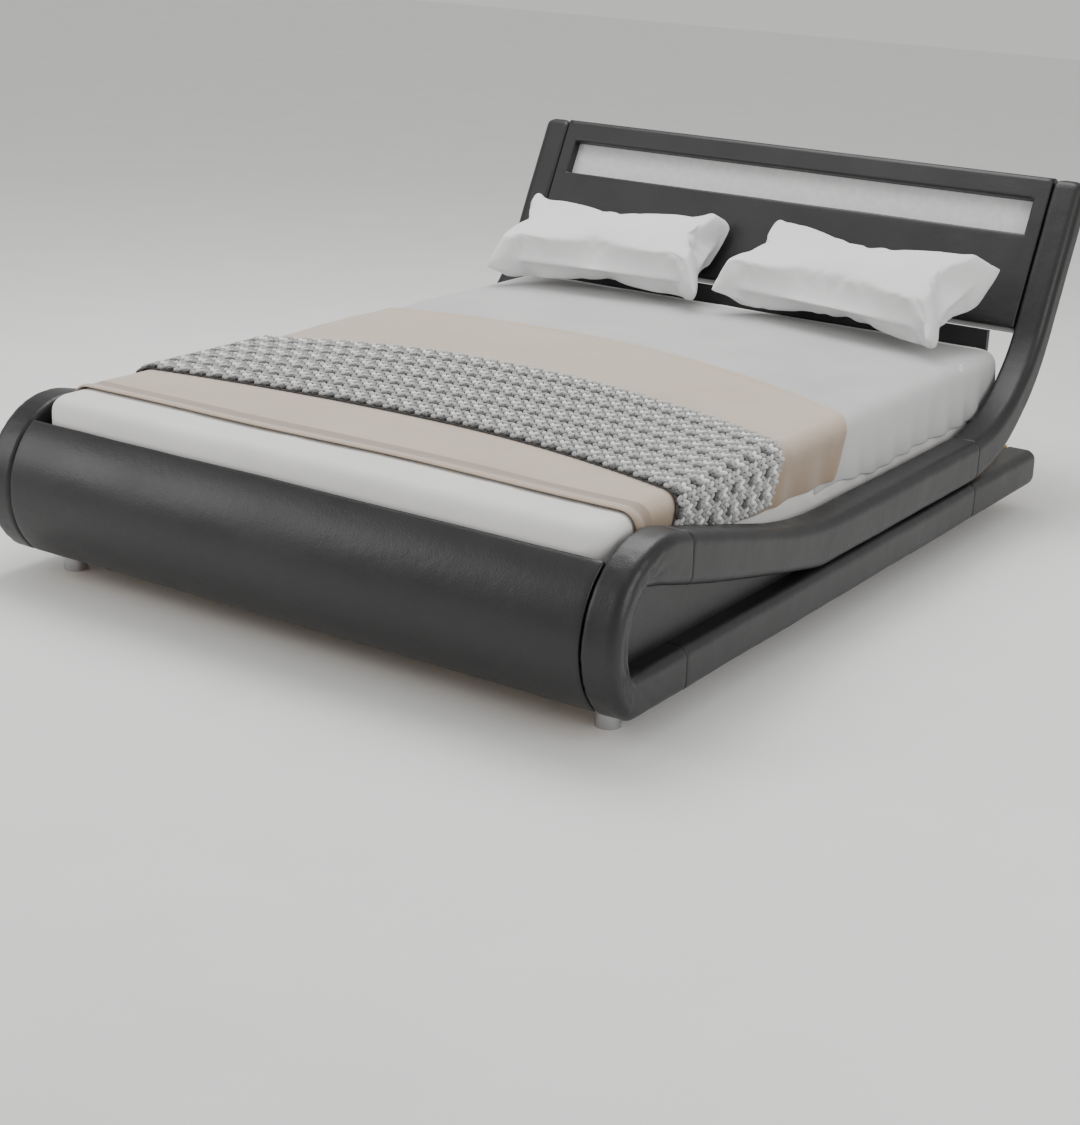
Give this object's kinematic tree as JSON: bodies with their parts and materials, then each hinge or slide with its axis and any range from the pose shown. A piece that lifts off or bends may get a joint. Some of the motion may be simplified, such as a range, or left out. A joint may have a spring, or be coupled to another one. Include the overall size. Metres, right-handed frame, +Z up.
{
  "type": "sleigh bed",
  "caption": "Upholstered sleigh bed whose padded sides curl at the foot, sweep along as armrests and rise into a leaning headboard with a light window; mattress and bedding lift off.",
  "frame": {"origin": "on the floor under the middle of the bed's outline", "axes": "+X across the bed, +Y from the foot to the head, +Z up"},
  "size_m": [1.7, 2.3399, 0.862],
  "materials": {
    "black_faux_leather": "satin",
    "plywood": "matte",
    "pine": "matte",
    "black_steel": "satin",
    "zinc_steel": "satin",
    "silver_metal": "satin",
    "frosted_acrylic": "satin",
    "led_tape": "matte",
    "black_plastic": "satin",
    "dust_cover": "matte",
    "webbing": "matte",
    "mattress_ticking": "matte",
    "fitted_sheet_cotton": "matte",
    "top_sheet_cotton": "matte",
    "beige_throw": "matte",
    "knit": "matte",
    "pillow_cotton": "matte"
  },
  "bodies": {
    "frame": {"centre_beam": "black_steel", "centre_leg_1": "black_steel", "centre_leg_2": "black_steel", "centre_leg_3": "black_steel", "corner_blocks": "pine", "footboard_cover": "black_faux_leather", "footboard_ribs": "plywood", "front_cross_rail": "pine", "front_left_foot": "silver_metal", "front_right_foot": "silver_metal", "headboard_back_panel": "dust_cover", "headboard_bottom_rail": "pine", "headboard_cover": "black_faux_leather", "headboard_front_board": "plywood", "headboard_lower_board": "black_faux_leather", "headboard_middle_rail": "pine", "headboard_posts": "pine", "headboard_top_rail": "pine", "joint_bolts": "zinc_steel", "joint_plates": "black_steel", "led_strip": "led_tape", "left_arm_core": "plywood", "left_arm_cover": "black_faux_leather", "left_curl_core": "plywood", "left_curl_cover": "black_faux_leather", "left_headboard_side_frame": "plywood", "left_ledger": "pine", "left_rail_core": "plywood", "left_rail_cover": "black_faux_leather", "left_side_board": "black_faux_leather", "left_tail_cover": "black_faux_leather", "left_wing_cover": "black_faux_leather", "light_diffuser": "frosted_acrylic", "power_inlet": "black_plastic", "rear_cross_rail": "pine", "rear_left_foot": "silver_metal", "rear_right_foot": "silver_metal", "right_arm_core": "plywood", "right_arm_cover": "black_faux_leather", "right_curl_core": "plywood", "right_curl_cover": "black_faux_leather", "right_headboard_side_frame": "plywood", "right_ledger": "pine", "right_rail_core": "plywood", "right_rail_cover": "black_faux_leather", "right_side_board": "black_faux_leather", "right_tail_cover": "black_faux_leather", "right_wing_cover": "black_faux_leather", "slat_straps": "webbing", "slats": "pine"},
    "mattress": {"mattress": "mattress_ticking", "fitted_sheet": "fitted_sheet_cotton", "top_sheet": "top_sheet_cotton", "throw_blanket": "beige_throw", "knit_throw": "knit"},
    "left_pillow": {"left_pillow": "pillow_cotton"},
    "right_pillow": {"right_pillow": "pillow_cotton"},
    "leveller_1": {"levelling_foot_1": "zinc_steel"},
    "leveller_2": {"levelling_foot_2": "zinc_steel"},
    "leveller_3": {"levelling_foot_3": "zinc_steel"}
  },
  "joints": [
    {"name": "mattress_lift", "type": "slide", "parent": "frame", "child": "mattress", "axis": [0, 0, 1], "range_m": [0, 0.35]},
    {"name": "left_pillow_lift", "type": "slide", "parent": "mattress", "child": "left_pillow", "axis": [0, 0, 1], "range_m": [0, 0.3]},
    {"name": "right_pillow_lift", "type": "slide", "parent": "mattress", "child": "right_pillow", "axis": [0, 0, 1], "range_m": [0, 0.3]},
    {"name": "leveller_1_screw", "type": "slide", "parent": "frame", "child": "leveller_1", "axis": [0, 0, 1], "range_m": [-0.01, 0.012]},
    {"name": "leveller_2_screw", "type": "slide", "parent": "frame", "child": "leveller_2", "axis": [0, 0, 1], "range_m": [-0.01, 0.012]},
    {"name": "leveller_3_screw", "type": "slide", "parent": "frame", "child": "leveller_3", "axis": [0, 0, 1], "range_m": [-0.01, 0.012]}
  ]
}
